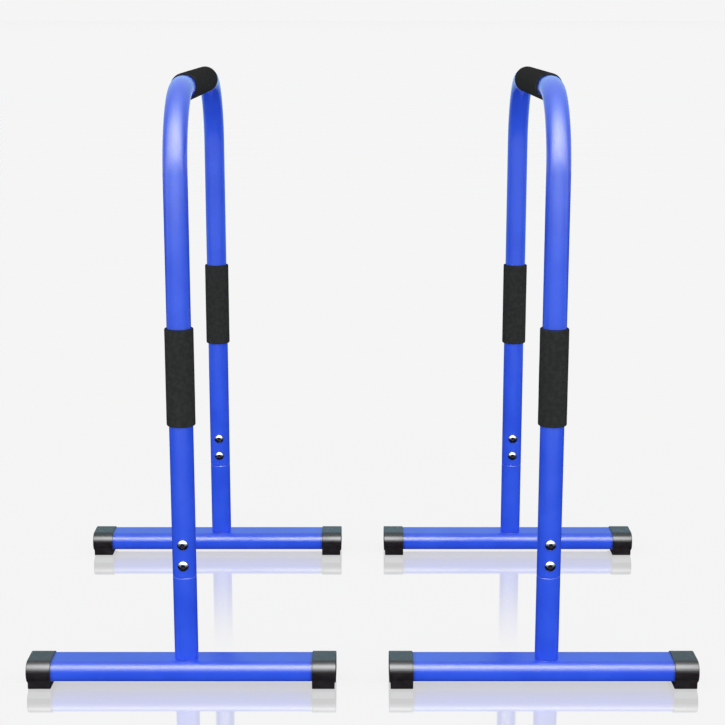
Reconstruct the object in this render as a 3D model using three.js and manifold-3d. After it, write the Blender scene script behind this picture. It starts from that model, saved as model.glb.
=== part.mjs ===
// A pair of free-standing dip bars, in millimetres, with +Z up.
// The origin is on the floor, midway between the two stands and midway between their front and back legs.
// Each stand is a bent tube handle on two welded T-shaped feet. +X runs along the feet, +Y to the back.
import * as THREE from "three";
import { mergeVertices } from "three/addons/utils/BufferGeometryUtils.js";
import Module from "manifold-3d";

const wasm = await Module();
wasm.setup();

// How the two stands are set out
const footGap = 85.6; // between the facing end caps of the two stands
const legSpacing = 660; // between the axes of a stand's front and back uprights
const barHeight = 947.5; // from the floor to the axis of the top bar
const uprightOffset = 6.5; // the uprights are this far to +X of the middle of their feet

// Round steel tube of the handles and posts
const tubeRadius = 19;
const tubeWall = 2;
const bendRadius = 125; // of the tube's axis

// Spigot joint, where a handle's end slips over the narrowed top of a post
const seamHeight = 183.5; // from the floor to the handle's lower end
const spigotLength = 75; // what reaches into the handle
const shoulderHeight = 2.5; // rounded step from the post's full width to its spigot
const swageTaper = 8; // height of the cone inside the post, under the shoulder
const spigotLeadIn = 1; // chamfer round the spigot's mouth
const slipClearance = 0.3; // round the spigot and under the handle's end

// Flat-oval steel tube of the crossbars
const crossbarLength = 490;
const crossbarDepth = 67;
const crossbarThickness = 33.5;
const crossbarWall = 2;
const crossbarEdgeFlat = 1.5; // straight part of its rounded long edges
const weldLeg = 1.2; // weld bead round the foot of a post

// Moulded end caps, each a sleeve over the crossbar's end with a foot block under it
const capLength = 38.6; // along the crossbar, its end wall included
const capWall = 1.6;
const capEndWall = 3.4;
const capEdge = 1.2; // rounding of its rims
const capClearance = 0.3; // between the cap and the tube in it
const footHeight = 7.2; // from the floor to the sleeve
const footInset = 2.3; // back from the cap's outer end
const footSideInset = 2.5; // in from the cap's long sides
const footEdge = 1; // chamfer round the foot's underside

// Foam grips
const foamThickness = 3.5;
const foamEdge = 2; // rounding of the ends
const foamClearance = 0.3; // between the foam and the tube in it
const gripInset = 30; // bare tube between each bend and the grip on the top bar
const sleeveLength = 155; // round an upright
const sleeveHeight = 430.5; // from the floor to its lower end

// Button-head bolts through each joint, with a washer and nut on the far side
const boltRadius = 5;
const boltHeadRadius = 8.75;
const boltHeadHeight = 5.5;
const boltHeadRim = 1; // straight part of the head, under its dome
const boltEndChamfer = 0.8;
const boltOverhang = 2; // past the nut
const boltSpacing = 35;
const lowerBoltRise = 20; // above the seam
const socketWidth = 6; // across the flats of the hexagon
const socketDepth = 3;
const boltHoleClearance = 0.5; // round the bolt in both tubes
const washerRadius = 10;
const washerThickness = 2;
const nutWidth = 17; // across the flats
const nutHeight = 8;
const nutClearance = 0.3; // round the bolt in its nut and washer
const seatGap = 0.3; // between faces that bear on each other, from the head to the nut

// Facets of the round forms
const tubeSides = 20;
const boltSides = 12;
const hexagonSides = 6;
const bendSteps = 8; // in each quarter turn, as are the next three
const cornerSteps = 6;
const domeSteps = 3;
const edgeSteps = 2;
const capEdgeSteps = 1;
const facetsPerSegment = 2; // how many facets one curve segment gives an arc in a shape

const cutOverrun = 1; // how far a cut runs past what it cuts

// Heights and lengths that follow from the sizes above
const crossbarBottom = footHeight + capWall + capClearance;
const crossbarTop = crossbarBottom + crossbarThickness;
const crossbarCorner = (crossbarThickness - crossbarEdgeFlat) / 2;
const footDepth = crossbarDepth + 2 * (capClearance + capWall - footSideInset);
const footLength = crossbarLength + 2 * (capClearance + capEndWall);
const standSpacing = footLength + footGap; // between the middles of the two stands' feet
const tubeBore = tubeRadius - tubeWall;
const spigotRadius = tubeBore - slipClearance;
const shoulderTop = seamHeight - slipClearance;
const foamBore = tubeRadius + foamClearance;
const foamRadius = foamBore + foamThickness;
const gripLength = legSpacing - 2 * (bendRadius + gripInset);
const boltSeat = tubeRadius + seatGap; // of the head on one side and the washer on the other
const nutSeat = boltSeat + washerThickness + seatGap;
const boltEnd = nutSeat + nutHeight + boltOverhang;
const boltHeights = [seamHeight + lowerBoltRise, seamHeight + lowerBoltRise + boltSpacing];

const finishes = {
  bluePaint: { color: 0x2a4fdc, roughness: 0.35, metalness: 0.1 },
  blackPlastic: { color: 0x2b2a2d, roughness: 0.4, metalness: 0 },
  charcoalFoam: { color: 0x303230, roughness: 0.95, metalness: 0 },
  brightSteel: { color: 0xc9ccd2, roughness: 0.2, metalness: 1 },
};

// A closed geometry as a solid that can be joined and cut.
function solidOf(geometry) {
  const bare = geometry.clone();
  bare.deleteAttribute("normal");
  bare.deleteAttribute("uv");
  const merged = mergeVertices(bare);
  return new wasm.Manifold(
    new wasm.Mesh({
      numProp: 3,
      vertProperties: merged.attributes.position.array,
      triVerts: new Uint32Array(merged.index.array),
    }),
  );
}

// A solid as a geometry with flat faces.
function geometryOf(solid) {
  const { vertProperties, triVerts } = solid.getMesh();
  const indexed = new THREE.BufferGeometry();
  indexed.setAttribute("position", new THREE.BufferAttribute(vertProperties, 3));
  indexed.setIndex(new THREE.BufferAttribute(triVerts, 1));
  const geometry = indexed.toNonIndexed();
  geometry.computeVertexNormals();
  return geometry;
}

function named(name, geometry, finish) {
  const mesh = new THREE.Mesh(geometry, new THREE.MeshStandardMaterial(finish));
  mesh.name = name;
  return mesh;
}

// A profile of radii and heights, given anticlockwise, turned about Z.
function turned(profile, sides) {
  const closed = [...profile, profile[0]];
  const points = closed.map(([radius, height]) => new THREE.Vector2(radius, height));
  const geometry = new THREE.LatheGeometry(points, sides);
  return geometry.rotateX(Math.PI / 2);
}

// Points on a quarter of an ellipse, from its side at angle 0 to its top.
function quarterRound(centreRadius, centreHeight, width, height, steps) {
  const points = [];
  for (let step = 0; step <= steps; step++) {
    const angle = (step / steps) * (Math.PI / 2);
    points.push([
      centreRadius + width * Math.cos(angle),
      centreHeight + height * Math.sin(angle),
    ]);
  }
  return points;
}

// A rounded rectangle about the origin, drawn into a shape or a hole.
function roundedRectangle(outline, width, height, radius) {
  const x = width / 2 - radius;
  const y = height / 2 - radius;
  outline.absarc(x, y, radius, 0, Math.PI / 2);
  outline.absarc(-x, y, radius, Math.PI / 2, Math.PI);
  outline.absarc(-x, -y, radius, Math.PI, 1.5 * Math.PI);
  outline.absarc(x, -y, radius, 1.5 * Math.PI, 2 * Math.PI);
  outline.closePath();
  return outline;
}

function hexagon(outline, width) {
  const corner = width / 2 / Math.cos(Math.PI / hexagonSides);
  for (let side = 0; side < hexagonSides; side++) {
    const angle = (2 * Math.PI * side) / hexagonSides;
    const point = [corner * Math.cos(angle), corner * Math.sin(angle)];
    if (side === 0) outline.moveTo(...point);
    else outline.lineTo(...point);
  }
  outline.closePath();
  return outline;
}

// Cuts the bolt holes through a tube whose upright's axis is at this Y.
function drilled(tube, y) {
  const radius = boltRadius + boltHoleClearance;
  const length = 2 * (tubeRadius + cutOverrun);
  return boltHeights.reduce((rest, height) => {
    const drill = new THREE.CylinderGeometry(radius, radius, length, boltSides);
    return rest.subtract(solidOf(drill.translate(0, y, height)));
  }, tube);
}

// The axis of a handle: up the front upright, back over two bends and down the back upright.
// Its stations are the steps that the tube is built on, close together only in the bends.
class HandlePath extends THREE.Curve {
  constructor() {
    super();
    this.stations = [{ y: -legSpacing / 2, z: seamHeight, angle: 0 }];
    const bends = [
      { centre: -legSpacing / 2 + bendRadius, from: 0 },
      { centre: legSpacing / 2 - bendRadius, from: Math.PI / 2 },
    ];
    for (const { centre, from } of bends) {
      for (let step = 0; step <= bendSteps; step++) {
        const angle = from + (step / bendSteps) * (Math.PI / 2);
        this.stations.push({
          y: centre - bendRadius * Math.cos(angle),
          z: barHeight - bendRadius + bendRadius * Math.sin(angle),
          angle,
        });
      }
    }
    this.stations.push({ y: legSpacing / 2, z: seamHeight, angle: Math.PI });
  }

  get steps() {
    return this.stations.length - 1;
  }

  stationAt(t) {
    return this.stations[Math.round(t * this.steps)];
  }

  getPoint(t) {
    const { y, z } = this.stationAt(t);
    return new THREE.Vector3(0, y, z);
  }

  getTangent(t) {
    const { angle } = this.stationAt(t);
    return new THREE.Vector3(0, Math.sin(angle), Math.cos(angle));
  }

  // The steps follow the stations, not the length along the path.
  getUtoTmapping(u) {
    return u;
  }
}

function handleGeometry() {
  const section = new THREE.Shape().absarc(0, 0, tubeRadius, 0, 2 * Math.PI);
  section.holes.push(new THREE.Path().absarc(0, 0, tubeBore, 0, 2 * Math.PI));
  const path = new HandlePath();
  const tube = new THREE.ExtrudeGeometry(section, {
    extrudePath: path,
    steps: path.steps,
    curveSegments: tubeSides / facetsPerSegment,
  });
  const frontDrilled = drilled(solidOf(tube), -legSpacing / 2);
  return geometryOf(drilled(frontDrilled, legSpacing / 2));
}

// A post from the crossbar's top, with the weld bead round its foot and the spigot at its top.
function postGeometry() {
  const spigotTop = seamHeight + spigotLength;
  const swageTop = shoulderTop - shoulderHeight;
  const spigotBore = spigotRadius - tubeWall;
  const shoulderWidth = tubeRadius - spigotRadius;
  const profile = [
    [tubeRadius + weldLeg, crossbarTop],
    [tubeRadius, crossbarTop + weldLeg],
    ...quarterRound(spigotRadius, swageTop, shoulderWidth, shoulderHeight, domeSteps),
    [spigotRadius, spigotTop - spigotLeadIn],
    [spigotRadius - spigotLeadIn, spigotTop],
    [spigotBore, spigotTop],
    [spigotBore, swageTop],
    [tubeBore, swageTop - swageTaper],
    [tubeBore, crossbarTop],
  ];
  return geometryOf(drilled(solidOf(turned(profile, tubeSides)), 0));
}

// A foam tube that stands on its lower end.
function foamGeometry(length) {
  const shoulder = foamRadius - foamEdge;
  const upper = quarterRound(shoulder, length - foamEdge, foamEdge, foamEdge, edgeSteps);
  const lower = quarterRound(shoulder, -foamEdge, foamEdge, foamEdge, edgeSteps)
    .map(([radius, height]) => [radius, -height])
    .reverse();
  return turned([[foamBore, 0], ...lower, ...upper, [foamBore, length]], tubeSides);
}

// The crossbar's section, grown outwards by an offset or drawn in by a negative one.
function crossbarOutline(outline, offset) {
  return roundedRectangle(
    outline,
    crossbarDepth + 2 * offset,
    crossbarThickness + 2 * offset,
    crossbarCorner + offset,
  );
}

// A crossbar along X, about its own middle.
function crossbarGeometry() {
  const section = crossbarOutline(new THREE.Shape(), 0);
  section.holes.push(crossbarOutline(new THREE.Path(), -crossbarWall));
  const bar = new THREE.ExtrudeGeometry(section, {
    depth: crossbarLength,
    bevelEnabled: false,
    curveSegments: cornerSteps / facetsPerSegment,
  });
  bar.translate(0, 0, -crossbarLength / 2);
  return alongX(bar);
}

// Turns a shape that was drawn with its depth as X and its height as Y to run along X.
function alongX(geometry) {
  return geometry.rotateX(Math.PI / 2).rotateZ(Math.PI / 2);
}

// An end cap whose inner rim is at X 0 and whose end wall is towards +X, about the crossbar's axis.
function capGeometry() {
  const curveSegments = cornerSteps / facetsPerSegment;
  const shellOutline = crossbarOutline(new THREE.Shape(), capClearance + capWall - capEdge);
  const shell = new THREE.ExtrudeGeometry(shellOutline, {
    depth: capLength - 2 * capEdge,
    bevelThickness: capEdge,
    bevelSize: capEdge,
    bevelSegments: capEdgeSteps,
    curveSegments,
  }).translate(0, 0, capEdge);
  const pocket = new THREE.ExtrudeGeometry(crossbarOutline(new THREE.Shape(), capClearance), {
    depth: capLength - capEndWall + cutOverrun,
    bevelEnabled: false,
    curveSegments,
  }).translate(0, 0, -cutOverrun);
  const joined = solidOf(alongX(shell)).add(solidOf(footBlock()));
  return geometryOf(joined.subtract(solidOf(alongX(pocket))));
}

// The block under a cap, from the cap's rim to short of its outer end, up to where the sleeve's sides are flat.
function footBlock() {
  const length = capLength - footInset;
  const sole = -crossbarBottom - crossbarThickness / 2;
  const top = -crossbarEdgeFlat / 2;
  const section = new THREE.Shape();
  section.moveTo(footEdge, sole);
  section.lineTo(length - footEdge, sole);
  section.lineTo(length, sole + footEdge);
  section.lineTo(length, top);
  section.lineTo(0, top);
  section.lineTo(0, sole + footEdge);
  section.closePath();
  const block = new THREE.ExtrudeGeometry(section, { depth: footDepth, bevelEnabled: false });
  return block.translate(0, 0, -footDepth / 2).rotateX(Math.PI / 2);
}

// A bolt along +Y through an upright's axis at the origin, with its head towards -Y.
function boltGeometry() {
  const rim = boltSeat + boltHeadRim;
  const crown = boltSeat + boltHeadHeight;
  const dome = quarterRound(0, rim, boltHeadRadius, crown - rim, domeSteps);
  const profile = [
    [0, -boltEnd],
    [boltRadius - boltEndChamfer, -boltEnd],
    [boltRadius, -boltEnd + boltEndChamfer],
    [boltRadius, boltSeat],
    [boltHeadRadius, boltSeat],
    ...dome.slice(0, -1),
    [0, crown],
  ];
  const socket = new THREE.ExtrudeGeometry(hexagon(new THREE.Shape(), socketWidth), {
    depth: socketDepth + cutOverrun,
    bevelEnabled: false,
  }).translate(0, 0, crown - socketDepth);
  const bolt = solidOf(turned(profile, boltSides)).subtract(solidOf(socket));
  return geometryOf(bolt).rotateX(Math.PI / 2);
}

// A washer and a nut on the same bolt, on the +Y side of its upright.
function washerGeometry() {
  const bore = boltRadius + nutClearance;
  const profile = [
    [bore, 0],
    [washerRadius, 0],
    [washerRadius, washerThickness],
    [bore, washerThickness],
  ];
  return turned(profile, boltSides).rotateX(-Math.PI / 2).translate(0, boltSeat, 0);
}

function nutGeometry() {
  const outline = hexagon(new THREE.Shape(), nutWidth);
  outline.holes.push(new THREE.Path().absarc(0, 0, boltRadius + nutClearance, 0, 2 * Math.PI));
  const nut = new THREE.ExtrudeGeometry(outline, {
    depth: nutHeight,
    bevelEnabled: false,
    curveSegments: boltSides / facetsPerSegment,
  });
  return nut.rotateX(-Math.PI / 2).translate(0, nutSeat, 0);
}

const shapes = {
  handle: handleGeometry(),
  post: postGeometry(),
  crossbar: crossbarGeometry(),
  cap: capGeometry(),
  grip: foamGeometry(gripLength),
  sleeve: foamGeometry(sleeveLength),
  bolt: boltGeometry(),
  washer: washerGeometry(),
  nut: nutGeometry(),
};

// One leg, about the floor under its upright: the foot and post, the sleeve above them and the bolts.
// Its outer cap is towards +X on the right stand and towards -X on the left one.
function makeLeg(prefix, outwards) {
  const leg = new THREE.Group();
  leg.add(named(`${prefix}_post`, shapes.post, finishes.bluePaint));

  const sleeve = named(`${prefix}_sleeve`, shapes.sleeve, finishes.charcoalFoam);
  sleeve.position.z = sleeveHeight;
  leg.add(sleeve);

  const foot = new THREE.Group();
  foot.position.set(-uprightOffset, 0, crossbarBottom + crossbarThickness / 2);
  foot.add(named(`${prefix}_crossbar`, shapes.crossbar, finishes.bluePaint));
  const capRim = footLength / 2 - capLength;
  for (const [place, towards] of [["outer", outwards], ["inner", -outwards]]) {
    const cap = named(`${prefix}_${place}_cap`, shapes.cap, finishes.blackPlastic);
    cap.rotation.z = towards > 0 ? 0 : Math.PI;
    cap.position.x = towards * capRim;
    foot.add(cap);
  }
  leg.add(foot);

  ["lower", "upper"].forEach((place, index) => {
    for (const piece of ["bolt", "washer", "nut"]) {
      const mesh = named(`${prefix}_${place}_${piece}`, shapes[piece], finishes.brightSteel);
      mesh.position.z = boltHeights[index];
      leg.add(mesh);
    }
  });
  return leg;
}

// One stand, about the floor midway between its uprights.
function makeStand(name, outwards) {
  const stand = new THREE.Group();
  stand.add(named(`${name}_handle_frame`, shapes.handle, finishes.bluePaint));

  const grip = named(`${name}_top_grip`, shapes.grip, finishes.charcoalFoam);
  grip.rotation.x = -Math.PI / 2;
  grip.position.set(0, -gripLength / 2, barHeight);
  stand.add(grip);

  for (const [place, side] of [["front", -1], ["back", 1]]) {
    const leg = makeLeg(`${name}_${place}`, outwards);
    leg.position.y = side * (legSpacing / 2);
    stand.add(leg);
  }
  return stand;
}

const dipStation = new THREE.Group();
for (const [name, side] of [["left", -1], ["right", 1]]) {
  const stand = makeStand(name, side);
  stand.position.x = side * (standSpacing / 2) + uprightOffset;
  dipStation.add(stand);
}

export default dipStation;
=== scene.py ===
"""Dresses a pair of free-standing dip bars in painted tube, foam, moulded plastic and plated steel.

Each stand is a bent tube handle on two T-shaped feet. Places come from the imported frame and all
lengths are in metres.
"""

import logging
import math
from collections.abc import Callable, Sequence
from dataclasses import dataclass, field
from enum import Enum

import bmesh
import bpy
from mathutils import Euler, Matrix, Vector, noise


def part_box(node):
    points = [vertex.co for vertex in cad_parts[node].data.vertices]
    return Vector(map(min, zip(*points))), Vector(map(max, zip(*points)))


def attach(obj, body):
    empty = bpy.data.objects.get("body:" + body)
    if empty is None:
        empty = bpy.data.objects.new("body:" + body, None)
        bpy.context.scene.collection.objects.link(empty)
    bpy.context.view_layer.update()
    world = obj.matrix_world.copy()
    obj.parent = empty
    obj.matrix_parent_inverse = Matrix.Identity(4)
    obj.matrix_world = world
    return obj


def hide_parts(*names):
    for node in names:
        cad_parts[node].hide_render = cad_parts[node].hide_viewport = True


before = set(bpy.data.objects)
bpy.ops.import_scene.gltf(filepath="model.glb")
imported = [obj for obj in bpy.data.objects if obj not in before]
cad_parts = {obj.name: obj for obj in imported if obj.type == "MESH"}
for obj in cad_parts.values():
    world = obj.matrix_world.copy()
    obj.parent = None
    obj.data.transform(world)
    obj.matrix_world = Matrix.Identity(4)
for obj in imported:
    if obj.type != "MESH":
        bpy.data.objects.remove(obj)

log = logging.getLogger("dip_bars")

MM = 0.001
FULL_TURN = 2 * math.pi
QUARTER_TURN = math.pi / 2
ORIGIN = Vector((0, 0, 0))
# The mesh attribute that marks where the materials paint shade into their colour.
RECESS = "recess"
Colour = tuple[float, float, float]
Span = tuple[float, float]
Ring = list[Vector]


class Stand(Enum):
    """The two stands of the pair."""

    LEFT = "left"
    RIGHT = "right"

    @property
    def body(self) -> str:
        """The name of the body that this stand's pieces move with."""
        return f"{self.value}_stand"

    @property
    def outwards(self) -> int:
        """The X direction that points away from the other stand."""
        return -1 if self is Stand.LEFT else 1


class Leg(Enum):
    """The two legs of a stand."""

    FRONT = "front"
    BACK = "back"


class CapPlace(Enum):
    """The two ends of a crossbar."""

    OUTER = "outer"
    INNER = "inner"


class Fastener(Enum):
    """The three pieces of a bolted joint."""

    BOLT = "bolt"
    WASHER = "washer"
    NUT = "nut"


class Slot(Enum):
    """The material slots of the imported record."""

    PAINT = "blue_paint"
    PLASTIC = "black_plastic"
    FOAM = "charcoal_foam"
    STEEL = "bright_steel"


class Outline(Enum):
    """The outline of one ring of a turned piece."""

    ROUND = "round"
    HEXAGON = "hexagon"


class Socket:
    """A node's output that takes part in arithmetic."""

    def __init__(self, tree: "Tree", link: bpy.types.NodeSocket) -> None:
        """Wraps an output.

        Args:
            tree: The tree that the output belongs to.
            link: The output itself.
        """
        self.tree = tree
        self.link = link

    def __add__(self, other: "Socket | float") -> "Socket":
        """Adds."""
        return self.tree.math("ADD", self, other)

    def __sub__(self, other: "Socket | float") -> "Socket":
        """Subtracts."""
        return self.tree.math("SUBTRACT", self, other)

    def __rsub__(self, other: float) -> "Socket":
        """Subtracts this from a number."""
        return self.tree.math("SUBTRACT", other, self)

    def __mul__(self, other: "Socket | float") -> "Socket":
        """Multiplies."""
        return self.tree.math("MULTIPLY", self, other)

    def __neg__(self) -> "Socket":
        """Changes the sign."""
        return self.tree.math("MULTIPLY", self, -1.0)

    __radd__ = __add__
    __rmul__ = __mul__

    def smooth_step(self, low: float, high: float) -> "Socket":
        """Runs smoothly from 0 at one value to 1 at another.

        Args:
            low: The value that gives 0.
            high: The value that gives 1.

        Returns:
            The eased value.
        """
        settings = {"interpolation_type": "SMOOTHSTEP"}
        values = {"Value": self, "From Min": low, "From Max": high}
        return self.tree.node("ShaderNodeMapRange", settings, values)


class Tree:
    """A node tree that is written as expressions."""

    def __init__(self, nodes: bpy.types.NodeTree) -> None:
        """Wraps a tree and empties it.

        Args:
            nodes: The tree to fill.
        """
        self.nodes = nodes
        nodes.nodes.clear()

    def node(self, kind: str, settings: dict | None = None, values: dict | None = None,
             output: int | str = 0) -> Socket | None:
        """Adds one node.

        Args:
            kind: The node's type.
            settings: Its properties, set before its sockets.
            values: What its sockets get, by name or number: a value, a Socket or a list of them.
            output: The output to hand back.

        Returns:
            That output, or nothing for a node without one.
        """
        made = self.nodes.nodes.new(kind)
        for name, value in (settings or {}).items():
            setattr(made, name, value)
        for name, value in (values or {}).items():
            for item in value if isinstance(value, list) else [value]:
                if isinstance(item, Socket):
                    self.nodes.links.new(item.link, made.inputs[name])
                else:
                    made.inputs[name].default_value = item
        return Socket(self, made.outputs[output]) if made.outputs else None

    def math(self, operation: str, *terms: Socket | float) -> Socket:
        """Adds a Math node.

        Args:
            operation: What it does.
            terms: Its values.

        Returns:
            The result.
        """
        return self.node("ShaderNodeMath", {"operation": operation}, dict(enumerate(terms)))

    def vector(self, x: Socket | float, y: Socket | float, z: Socket | float) -> Socket:
        """Joins three values into a vector.

        Args:
            x: The first value.
            y: The second value.
            z: The third value.

        Returns:
            The vector.
        """
        return self.node("ShaderNodeCombineXYZ", None, {"X": x, "Y": y, "Z": z})


class ShapeTree(Tree):
    """A geometry tree whose result becomes a plain mesh."""

    KINDS = {
        float: "NodeSocketFloat",
        int: "NodeSocketInt",
        Vector: "NodeSocketVector",
    }

    def __init__(self, name: str) -> None:
        """Starts an empty tree with a geometry input and output.

        Args:
            name: The tree's name.
        """
        super().__init__(bpy.data.node_groups.new(name, "GeometryNodeTree"))
        for way in ("INPUT", "OUTPUT"):
            self.nodes.interface.new_socket("Geometry", in_out=way, socket_type="NodeSocketGeometry")
        self.inputs = self.nodes.nodes.new("NodeGroupInput")
        self.identifiers: dict[str, str] = {}
        self.values: dict[str, float | int | Vector] = {}

    @property
    def base(self) -> Socket:
        """The mesh that the tree starts from."""
        return Socket(self, self.inputs.outputs["Geometry"])

    def size(self, name: str, value: float | int | Vector) -> Socket:
        """Adds a named input.

        Args:
            name: The input's name.
            value: What the modifier gives it.

        Returns:
            The input's value inside the tree.
        """
        made = self.nodes.interface.new_socket(
            name, in_out="INPUT", socket_type=self.KINDS[type(value)]
        )
        self.identifiers[name] = made.identifier
        self.values[name] = value
        return Socket(self, self.inputs.outputs[name])

    def finish(self, geometry: Socket, material: bpy.types.Material) -> None:
        """Ends the tree with real geometry in one material.

        Args:
            geometry: What the tree made.
            material: Its material.
        """
        real = self.node("GeometryNodeRealizeInstances", None, {"Geometry": geometry})
        painted = self.node("GeometryNodeSetMaterial", None, {"Geometry": real, "Material": material})
        self.node("NodeGroupOutput", None, {"Geometry": painted})

    def make(self, base: bpy.types.Mesh) -> bpy.types.Mesh:
        """Runs the tree on a mesh and hands back the result as a plain mesh.

        Args:
            base: The mesh that the tree starts from.

        Returns:
            The new mesh.
        """
        carrier = bpy.data.objects.new(self.nodes.name, base)
        bpy.context.scene.collection.objects.link(carrier)
        modifier = carrier.modifiers.new(self.nodes.name, "NODES")
        modifier.node_group = self.nodes
        for name, identifier in self.identifiers.items():
            modifier[identifier] = self.values[name]
        depsgraph = bpy.context.evaluated_depsgraph_get()
        made = bpy.data.meshes.new_from_object(carrier.evaluated_get(depsgraph))
        bpy.data.objects.remove(carrier)
        return made


class Surface(Tree):
    """A material's tree, read in the object's own coordinates."""

    def __init__(self, name: str) -> None:
        """Starts an empty material.

        Args:
            name: The material's name.
        """
        self.material = bpy.data.materials.new(name)
        self.material.use_nodes = True
        super().__init__(self.material.node_tree)
        self.place = self.node("ShaderNodeTexCoord", output="Object")

    def grain(self, size: float, detail: float = 2.0) -> Socket:
        """Noise from 0 to 1.

        Args:
            size: The width of its blotches.
            detail: How many finer layers it has.

        Returns:
            The noise.
        """
        values = {"Vector": self.place, "Scale": 1 / size, "Detail": detail}
        return self.node("ShaderNodeTexNoise", None, values)

    def cells(self, size: float) -> Socket:
        """The distance from the middle of each of many small cells.

        Args:
            size: The width of a cell.

        Returns:
            The distance, from 0 in the middle of a cell.
        """
        return self.node("ShaderNodeTexVoronoi", None, {"Vector": self.place, "Scale": 1 / size})

    def blend(self, share: Socket, first: Colour | Socket, second: Colour) -> Socket:
        """Mixes two colours.

        Args:
            share: How much of the second there is.
            first: The colour at 0.
            second: The colour at 1.

        Returns:
            The mixed colour.
        """
        start = first if isinstance(first, Socket) else (*first, 1)
        values = {0: share, 6: start, 7: (*second, 1)}
        return self.node("ShaderNodeMix", {"data_type": "RGBA"}, values, 2)

    def recess(self) -> Socket:
        """How deep the surface lies in a recess, from 0 to 1, which sets how much shade is painted there.
        """
        return self.node("ShaderNodeAttribute", {"attribute_name": RECESS}, output="Fac")

    def bump(self, height: Socket) -> Socket:
        """Turns a height in metres into a normal.

        Args:
            height: The height.

        Returns:
            The normal.
        """
        return self.node("ShaderNodeBump", None, {"Strength": 1.0, "Distance": 1.0, "Height": height})

    def finish(self, values: dict) -> bpy.types.Material:
        """Ends the material with a Principled shader.

        Args:
            values: The shader's sockets.

        Returns:
            The material.
        """
        shader = self.node("ShaderNodeBsdfPrincipled", None, values)
        self.node("ShaderNodeOutputMaterial", None, {"Surface": shader})
        return self.material


@dataclass(frozen=True)
class PowderCoat:
    """Glossy blue powder coat, with the faint orange peel of baked powder, and painted shade that darkens
    it where the mesh marks a recess.
    """

    colour: Colour = (0.023, 0.087, 0.770)
    thin_colour: Colour = (0.030, 0.103, 0.820)
    shine_tint: Colour = (0.98, 0.90, 0.0)
    shade_colour: Colour = (0, 0, 0)
    drift_size: float = 60 * MM
    drift_span: Span = (0.3, 0.7)
    peel_size: float = 2.6 * MM
    peel_depth: float = 0.006 * MM
    roughness: float = 0.17
    roughness_drift: float = 0.06
    shade: float = 0.50

    def material(self) -> bpy.types.Material:
        """Builds the material."""
        made = Surface("powder_coat")
        drift = made.grain(self.drift_size)
        peel = made.grain(self.peel_size, 1.0)
        coat = made.blend(drift.smooth_step(*self.drift_span), self.colour, self.thin_colour)
        return made.finish({
            # Painted shade: the coat darkens towards black where the mesh marks a recess.
            "Base Color": made.blend(made.recess() * self.shade, coat, self.shade_colour),
            "Roughness": self.roughness + self.roughness_drift * made.grain(self.drift_size / 4),
            "Specular Tint": (*self.shine_tint, 1),
            "Normal": made.bump(peel * self.peel_depth),
        })


@dataclass(frozen=True)
class MouldedPlastic:
    """Satin black plastic with the fine grain of its mould."""

    colour: Colour = (0.0150, 0.0112, 0.0112)
    worn_colour: Colour = (0.0200, 0.0175, 0.0190)
    flow_size: float = 14 * MM
    flow_span: Span = (0.35, 0.7)
    grain_size: float = 0.7 * MM
    grain_depth: float = 0.010 * MM
    roughness: float = 0.20
    roughness_drift: float = 0.08
    gloss: float = 0.42

    def material(self) -> bpy.types.Material:
        """Builds the material."""
        made = Surface("moulded_plastic")
        flow = made.grain(self.flow_size, 3.0)
        grain = made.cells(self.grain_size)
        return made.finish({
            "Base Color": made.blend(flow.smooth_step(*self.flow_span), self.colour, self.worn_colour),
            "Roughness": self.roughness + self.roughness_drift * flow,
            "Specular IOR Level": self.gloss,
            "Normal": made.bump(grain * self.grain_depth),
        })


@dataclass(frozen=True)
class ClosedCellFoam:
    """Matt charcoal foam with burst cells in its skin."""

    colour: Colour = (0.0262, 0.0276, 0.0260)
    pale_colour: Colour = (0.0354, 0.0372, 0.0350)
    pore_colour: Colour = (0.008, 0.008, 0.008)
    mottle_size: float = 7 * MM
    mottle_span: Span = (0.35, 0.7)
    wear_span: Span = (0.45, 0.6)
    pebble_size: float = 1.5 * MM
    pebble_depth: float = 0.10 * MM
    pore_size: float = 2.6 * MM
    pore_span: Span = (0.06, 0.16)
    pore_depth: float = 0.12 * MM
    roughness: float = 0.88
    gloss: float = 0.0

    def material(self) -> bpy.types.Material:
        """Builds the material."""
        made = Surface("closed_cell_foam")
        mottle = made.grain(self.mottle_size, 4.0).smooth_step(*self.mottle_span)
        pebble = made.cells(self.pebble_size)
        open_cell = 1 - made.cells(self.pore_size).smooth_step(*self.pore_span)
        worn = made.grain(self.mottle_size / 2).smooth_step(*self.wear_span)
        pore = open_cell * worn
        skin = made.blend(mottle, self.colour, self.pale_colour)
        return made.finish({
            "Base Color": made.blend(pore, skin, self.pore_colour),
            "Roughness": self.roughness + (1 - self.roughness) * mottle,
            "Specular IOR Level": self.gloss,
            "Normal": made.bump(-pebble * self.pebble_depth - pore * self.pore_depth),
        })


@dataclass(frozen=True)
class PlatedSteel:
    """Bright nickel plate with the faint haze of a tumbled fastener, and painted shade in the socket."""

    colour: Colour = (0.26, 0.26, 0.31)
    dull_colour: Colour = (0.18, 0.18, 0.22)
    haze_size: float = 2.2 * MM
    haze_span: Span = (0.4, 0.75)
    scratch_size: float = 0.25 * MM
    scratch_depth: float = 0.0012 * MM
    roughness: float = 0.10
    roughness_drift: float = 0.14
    socket_shade_colour: Colour = (0.012, 0.012, 0.016)
    socket_shade_roughness: float = 0.35

    def material(self) -> bpy.types.Material:
        """Builds the material."""
        made = Surface("plated_steel")
        haze = made.grain(self.haze_size, 3.0)
        scratch = made.grain(self.scratch_size, 1.0)
        # Painted shade: the socket and its mouth are darkened and dulled.
        socket_shade = made.recess()
        plate = made.blend(haze.smooth_step(*self.haze_span), self.colour, self.dull_colour)
        return made.finish({
            "Base Color": made.blend(socket_shade, plate, self.socket_shade_colour),
            "Metallic": 1.0,
            "Roughness": self.roughness + self.roughness_drift * haze + self.socket_shade_roughness * socket_shade,
            "Normal": made.bump(scratch * self.scratch_depth),
        })


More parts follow.
